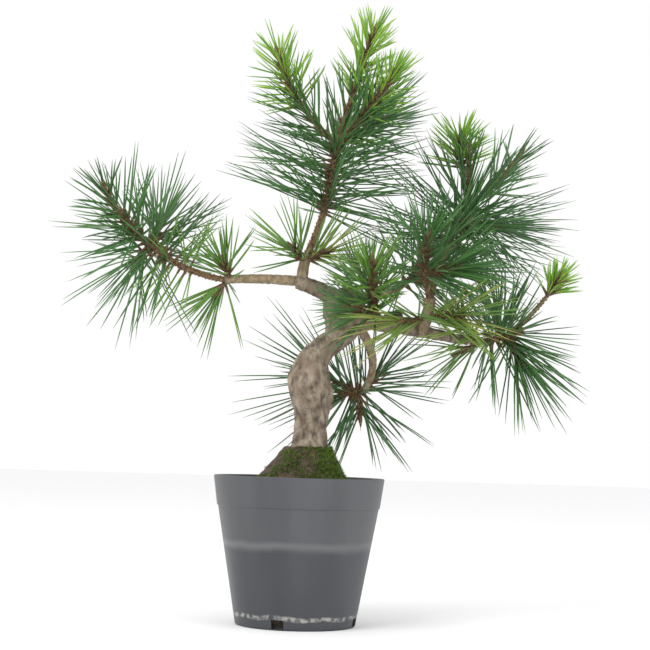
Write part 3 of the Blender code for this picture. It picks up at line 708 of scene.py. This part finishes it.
# %% Twigs and coats of needles
TWIGS = {
    "needles_left": [
        ("branch_left", 1.0, (-120, -8, 270), (0, -2, -6), 2.2),
        (0, 1.0, (-142, -22, 300), (-3, 0, 0), 1.6),
        (0, 0.95, (-128, -30, 282), (0, 0, 0), 1.6),
        (0, 0.80, (-106, 18, 285), (0, 0, 0), 1.6),
        (0, 0.85, (-124, 16, 252), (0, 0, 0), 1.6),
    ],
    "needles_left_inner_up": [("branch_left", 0.92, (-58, -20, 251), (0, 0, 0), 1.6)],
    "needles_left_inner_down": [("branch_left", 0.95, (-62, -2, 232), (0, 0, 0), 1.6)],
    "needles_top": [
        ("bough_top", 1.0, (19, 0, 342), (4, 2, 0), 2.6),
        (0, 1.0, (-24, -10, 402), (-5, 0, -3), 1.9),
        (0, 1.0, (44, 4, 424), (0, 0, 0), 1.9),
        (0, 1.0, (58, -24, 388), (3, -2, -2), 1.9),
        (0, 0.97, (51, 30, 366), (0, 0, 0), 1.9),
        (0, 0.95, (38, 34, 371), (0, 0, 0), 1.9),
    ],
    "needles_top_foot_left": [("bough_top", 0.66, (-9, -12, 263), (0, 0, 0), 1.5)],
    "needles_top_foot_right": [("bough_top", 0.70, (15, -9, 262), (0, 0, 0), 1.5)],
    "needles_crest": [
        ((88.6, -9.4, 231.0), 1.0, (118, 25, 303), (-2, 0, 3), 2.2),
        (0, 1.0, (110, 20, 351), (-2, 0, 0), 1.7),
        (0, 1.0, (115, 10, 338), (0, 0, 0), 1.7),
        (0, 1.0, (156, 38, 346), (0, 0, -4), 1.7),
        (0, 0.80, (147, 52, 292), (0, 0, 0), 1.7),
        (0, 0.72, (113, -14, 286), (0, 0, 0), 1.7),
    ],
    "needles_right_front": [
        ((87.4, -14.6, 231.0), 1.0, (85, -36, 270), (-3, 0, 0), 1.9),
        (0, 0.40, (104, -38, 250), (0, 0, 0), 1.6),
    ],
    "needles_fork_left": [("bough_right_up", 0.45, (68, -34, 212), (0, 0, 0), 1.6)],
    "needles_fork_right": [("bough_right_up", 0.5, (109, -30, 218), (0, 0, 0), 1.6)],
    "needles_centre": [("bough_right", 0.24, (46, -36, 250), (-2, -4, -3), 2.0)],
    "needles_centre_inner": [("bough_right", 0.32, (34, -30, 220), (0, -4, 1), 1.9)],
    "needles_right_low": [
        ("bough_right", 1.0, (151, 6, 210), (0, 2, -2), 2.2),
        (0, 0.8, (153, -6, 190), (0, 0, 0), 1.6),
        (0, 0.7, (140, 26, 222), (0, 0, 0), 1.6),
        (0, 0.3, (106, -18, 214), (0, 0, 0), 1.6),
        (0, 0.8, (180, -6, 248), (0, 0, -4), 1.7),
        (0, 0.35, (113, 18, 196), (0, 0, 0), 1.6),
    ],
    "needles_back_right": [
        ("bough_back", 1.0, (90, 96, 276), (3, 3, -3), 2.2),
        (0, 0.4, (111, 90, 260), (0, 0, 0), 1.7),
    ],
    "needles_back_middle": [("bough_back", 0.6, (40, 78, 258), (0, 0, -2), 2.0)],
    "needles_low": [
        ("bough_low", 1.0, (31, 32, 164), (0, 0, -1), 2.0),
        (0, 0.3, (42, 24, 148), (0, 0, 0), 1.6),
        (0, 0.1, (57, 42, 180), (0, 0, 0), 1.6),
        (0, 0.2, (14, 48, 177), (0, 0, 0), 1.6),
    ],
}
COATS = [
    ("needles_left", 0, 34, 58, 104, 55, 0.64, 1.0, "mature"),
    ("needles_left", 0, 12, 52, 92, 88, 0.34, 0.7, "fresh"),
    ("needles_left", 1, 18, 36, 60, 25, 0.0, 1.0, "mature"),
    ("needles_left", 2, 17, 58, 66, 36, 0.0, 1.0, "mature"),
    ("needles_left", 3, 24, 61, 66, 14, 0.05, 1.0, "mature"),
    ("needles_left", 4, 17, 66, 75, 18, 0.05, 1.0, "mature"),
    ("needles_left_inner_up", 0, 17, 41, 60, 24, 0.1, 1.0, "fresh"),
    ("needles_left_inner_down", 0, 13, 50, 56, 12, 0.1, 1.0, "fresh"),
    ("needles_top", 0, 80, 79, 82, 70, 0.36, 1.0, "mature"),
    ("needles_top", 1, 15, 47, 45, 32, 0.05, 0.5, "mature"),
    ("needles_top", 1, 40, 33, 70, 34, 0.45, 1.0, "young"),
    ("needles_top", 2, 12, 42, 50, 30, 0.0, 0.4, "mature"),
    ("needles_top", 2, 46, 33, 60, 32, 0.40, 1.0, "young"),
    ("needles_top", 3, 16, 50, 35, 32, 0.15, 0.5, "mature"),
    ("needles_top", 3, 36, 31, 62, 28, 0.40, 1.0, "young"),
    ("needles_top", 4, 28, 62, 52, 12, 0.12, 1.0, "mature"),
    ("needles_top", 5, 20, 36, 52, 12, 0.05, 1.0, "young"),
    ("needles_top_foot_left", 0, 14, 48, 50, 30, 0.1, 1.0, "fresh"),
    ("needles_top_foot_right", 0, 13, 50, 50, 27, 0.1, 1.0, "yellow"),
    ("needles_crest", 0, 58, 78, 97, 60, 0.52, 1.0, "dark"),
    ("needles_crest", 1, 32, 33, 75, 32, 0.55, 1.0, "young"),
    ("needles_crest", 2, 10, 40, 25, 25, 0.1, 1.0, "mature"),
    ("needles_crest", 3, 18, 43, 30, 30, 0.12, 0.9, "mature"),
    ("needles_crest", 4, 26, 71, 66, 6, 0.1, 1.0, "dark"),
    ("needles_crest", 5, 18, 56, 70, 20, 0.15, 1.0, "mature"),
    ("needles_right_front", 0, 36, 56, 90, 20, 0.28, 1.0, "mature"),
    ("needles_right_front", 1, 24, 56, 48, 14, 0.05, 1.0, "mature"),
    ("needles_fork_left", 0, 12, 62, 30, 14, 0.1, 1.0, "yellow"),
    ("needles_fork_right", 0, 17, 57, 38, 26, 0.1, 1.0, "yellow"),
    ("needles_centre", 0, 44, 40, 68, 42, 0.2, 1.0, "fresh"),
    ("needles_centre_inner", 0, 20, 41, 75, 22, 0.4, 1.0, "mature"),
    ("needles_right_low", 0, 30, 65, 107, 44, 0.4, 1.0, "mature"),
    ("needles_right_low", 1, 22, 64, 50, 14, 0.05, 1.0, "mature"),
    ("needles_right_low", 2, 22, 57, 53, 10, 0.1, 1.0, "mature"),
    ("needles_right_low", 3, 14, 53, 46, 14, 0.1, 1.0, "yellow"),
    ("needles_right_low", 4, 26, 23, 56, 31, 0.76, 1.0, "young"),
    ("needles_right_low", 5, 8, 50, 58, 30, 0.1, 1.0, "fresh"),
    ("needles_back_right", 0, 27, 59, 77, 17, 0.2, 1.0, "mature"),
    ("needles_back_right", 1, 30, 58, 60, 22, 0.1, 1.0, "mature"),
    ("needles_back_middle", 0, 30, 45, 74, 10, 0.2, 1.0, "mature"),
    ("needles_low", 0, 30, 60, 117, 20, 0.1, 1.0, "dark"),
    ("needles_low", 1, 10, 62, 72, 25, 0.1, 1.0, "dark"),
    ("needles_low", 2, 16, 58, 68, 17, 0.1, 1.0, "dark"),
    ("needles_low", 3, 19, 78, 68, 15, 0.1, 1.0, "dark"),
]
print("masses", len(TWIGS), "coats", len(COATS))

# %% [markdown]
# This year's needles are a light yellow green, older ones deepen, and a few turn yellow. Each coat
# has one tone, and each tone three close shades, dealt out pair by pair, so that the crown isn't
# one flat green.

# %% Needle colours
TONES = {
    "young": [(0.20, 0.40, 0.035), (0.27, 0.48, 0.05), (0.15, 0.33, 0.04)],
    "fresh": [(0.12, 0.27, 0.035), (0.16, 0.33, 0.05), (0.09, 0.22, 0.035)],
    "mature": [(0.055, 0.16, 0.035), (0.075, 0.20, 0.05), (0.04, 0.12, 0.03)],
    "dark": [(0.045, 0.135, 0.035), (0.065, 0.175, 0.05), (0.035, 0.10, 0.03)],
    "yellow": [(0.20, 0.32, 0.05), (0.13, 0.26, 0.05), (0.32, 0.34, 0.08)],
}
NEEDLE_FINISHES = {
    (tone, number): Finish(f"needle_{tone}_{number}", 0.42, colour)
    for tone, colours in TONES.items() for number, colour in enumerate(colours)
}
TWIG_BARK = bark_finish("twig_bark", (0.13, 0.075, 0.035), (0.42, 0.29, 0.16),
                        (0.30, 0.18, 0.08), 600)
SHEATH = Finish("needle_sheath", 0.8, (0.16, 0.10, 0.05))
print("needle colours", len(NEEDLE_FINISHES))

# %% [markdown]
# Pine needles grow in pairs from a short brown sheath, set round the twig by the golden angle.
# Each needle is a slim four-sided tube that bends a little and tapers only near its tip. That
# is the least that catches light like a real needle and stays cheap enough for thousands.

# %% Growing the needles
NEEDLE_RADIUS, NEEDLE_RINGS, NEEDLE_SIDES = 0.60, 7, 4
DENSITY, FIRST_SIDE = 1.3, (0.31, 0.52, 0.79)
SHEATH_LENGTH, PEG_SIDES, TWIG_SIDES, BUD_RINGS = 8.0, 5, 10, 8
NEEDLE_FLOOR, RIM_TOP, RIM_INSIDE, TRUNK_TOP, TRUNK_GAP = 99.5, 105.5, 54, 236, 2.5


def twig_paths(mass, steps=25):
    paths = []
    for grows_from, share, tip, bow, _ in TWIGS[mass]:
        if isinstance(grows_from, str):
            start = place(limb_path(grows_from), share)[0]
        elif isinstance(grows_from, int):
            start = place(paths[grows_from], share)[0]
        else:
            start = grows_from
        paths.append(arc(start, tip, bow, steps))
    return paths


def pairs_of(coat, path, index):
    """Root, way, across, length, half the angle of the pair, and bend of each pair of needles."""
    mass, _, count, length, foot, head, first, last, _ = coat
    count = round(count * DENSITY)
    rng = random.Random(f"{SEED} {mass} {index}")
    for i in range(count):
        t = (i + 0.5) / count
        root, along = place(path, first + (last - first) * t)
        level = np.array((0, 0, 1.0)) if abs(along[2]) < 0.9 else np.array((1.0, 0, 0))
        side = np.cross(along, level)
        side /= np.linalg.norm(side)
        other = np.cross(along, side)
        turn = i * GOLDEN_ANGLE + rng.uniform(-0.35, 0.35)
        lean = math.radians(foot + (head - foot) * t + rng.gauss(0, 8))
        outward = math.cos(turn) * side + math.sin(turn) * other
        way = math.cos(lean) * along + math.sin(lean) * outward
        size = length * rng.uniform(0.84, 1.10) * (1 - 0.25 * t ** 3)
        droop = along * rng.uniform(-0.02, 0.10) - np.array((0, 0, rng.uniform(-0.02, 0.08)))
        across = np.cross(way, outward) + np.array([rng.uniform(-0.2, 0.2) for _ in range(3)])
        across /= np.linalg.norm(across) + 1e-9
        yield root, way, across, size, math.radians(rng.uniform(1.5, 6)), droop * size


def allowed(root, tip):
    """Needles stay off the soil and the pot's rim, and out of the trunk."""
    for t in np.linspace(0, 1, 13):
        x, y, z = root + (tip - root) * t
        if z < NEEDLE_FLOOR or (z < RIM_TOP and math.hypot(x, y) > RIM_INSIDE):
            return False
        if z < TRUNK_TOP:
            i = np.argmin(np.abs(CORE[:, 2] - z))
            if math.hypot(x - CORE[i, 0], y - CORE[i, 1]) < CORE[i, 3] + TRUNK_GAP:
                return False
    return True


def needle_mesh(name, needles, finish):
    """Many bent needles in one mesh."""
    root = np.array([n[0] for n in needles])
    way = np.array([n[1] for n in needles])
    bend = np.array([n[2] for n in needles])
    u = np.linspace(0, 1, NEEDLE_RINGS)
    centres = (root[:, None] + way[:, None] * u[None, :, None]
               + bend[:, None] * (u ** 2)[None, :, None])
    profile = NEEDLE_RADIUS * np.array([0.8, 1.0, 1.0, 1.0, 0.92, 0.7, 0.12])
    radii = np.array([n[3] for n in needles])[:, None] * profile[None]
    points = tube_points(centres, radii, np.cross(way, FIRST_SIDE), NEEDLE_SIDES)
    faces = tube_faces(len(needles), NEEDLE_RINGS, NEEDLE_SIDES)
    return add_object(name, points * MM, faces, finish, "needles")


def sheath_mesh(name, rows):
    root = np.array([r[0] for r in rows])
    way = np.array([r[1] for r in rows])
    u = np.array([0.0, 0.6, 1.0])
    centres = root[:, None] + way[:, None] * u[None, :, None] * SHEATH_LENGTH
    radii = np.repeat(np.array([[1.15, 1.0, 0.75]]), len(rows), axis=0)
    points = tube_points(centres, radii, np.cross(way, FIRST_SIDE), PEG_SIDES)
    faces = tube_faces(len(rows), len(u), PEG_SIDES)
    return add_object(name, points * MM, faces, SHEATH, "needles")


def twig_mesh(mass, paths):
    """Twigs with the pegs that shed needles leave, and a bud at each tip."""
    points, faces, base = [], [], 0
    rng = random.Random(f"{SEED} {mass} twig")
    for path, row in zip(paths, TWIGS[mass]):
        length = np.linalg.norm(path[-1] - path[0])
        steps = max(8, int(length / 1.1))
        line = np.array([place(path, s)[0] for s in np.linspace(0, 1, steps)])
        radii = row[4] * (1 - 0.25 * np.linspace(0, 1, steps)) * (0.92 + 0.16 * np.array(
            [rng.random() for _ in range(steps)]))
        points.append(tube_points(line[None], radii[None], LEVEL_SIDE, TWIG_SIDES))
        faces += [tuple(v + base for v in face) for face in tube_faces(1, steps, TWIG_SIDES)]
        base += len(points[-1])
        pegs = int(length * 1.6)
        roots, ways = [], []
        for k in range(pegs):
            at, along = place(path, (k + 0.5) / pegs)
            turn = k * GOLDEN_ANGLE
            side = np.cross(along, (0.2, 0.9, 0.35))
            side /= np.linalg.norm(side)
            out = math.cos(turn) * side + math.sin(turn) * np.cross(along, side)
            roots.append(at + out * row[4] * 0.6)
            ways.append((out * 0.8 + along * 0.6) * row[4] * 0.75)
        root, way = np.array(roots), np.array(ways)
        u = np.array([0.0, 0.6, 1.0])
        centres = root[:, None] + way[:, None] * u[None, :, None]
        thick = np.repeat(np.array([[0.75, 0.6, 0.25]]), pegs, axis=0)
        points.append(tube_points(centres, thick, np.cross(way, FIRST_SIDE), PEG_SIDES))
        faces += [tuple(v + base for v in face) for face in tube_faces(pegs, len(u), PEG_SIDES)]
        base += len(points[-1])
        way = (path[-1] - path[-2]) / np.linalg.norm(path[-1] - path[-2])
        bud = path[-1] + way * np.linspace(-1, 9, BUD_RINGS)[:, None]
        swell = np.array([1.3, 1.9, 2.2, 2.1, 1.8, 1.3, 0.8, 0.15]) * row[4] / 2
        points.append(tube_points(bud[None], swell[None], LEVEL_SIDE, TWIG_SIDES))
        faces += [tuple(v + base for v in face) for face in tube_faces(1, BUD_RINGS, TWIG_SIDES)]
        base += len(points[-1])
    name = "twigs_" + mass.removeprefix("needles_")
    return add_object(name, np.concatenate(points) * MM, faces, TWIG_BARK, "needles")


total = 0
for mass in TWIGS:
    paths = twig_paths(mass)
    sprays, sheaths = {}, []
    for index, coat in enumerate(COATS):
        if coat[0] != mass:
            continue
        rng = random.Random(f"{SEED} {mass} {index} colour")
        for root, way, across, size, half, bend in pairs_of(coat, paths[coat[1]], index):
            if not allowed(root, root + way * size + bend):
                continue
            key = (coat[8], rng.choice((0, 0, 1, 1, 2)))
            for hand in (-1, 1):
                lean = way * math.cos(half) + across * (math.sin(half) * hand)
                reach = lean * size * rng.uniform(0.94, 1)
                needle = (root, reach, bend, rng.uniform(0.9, 1.1))
                sprays.setdefault(key, []).append(needle)
            sheaths.append((root, way))
    twigs = twig_mesh(mass, paths)
    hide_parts(mass)
    for (tone, number), needles in sprays.items():
        needle_mesh(f"{mass}_{tone}_{number}", needles, NEEDLE_FINISHES[(tone, number)])
        total += len(needles)
    sheath_mesh("sheaths_" + mass.removeprefix("needles_"), sheaths)
print("needles in all", total)
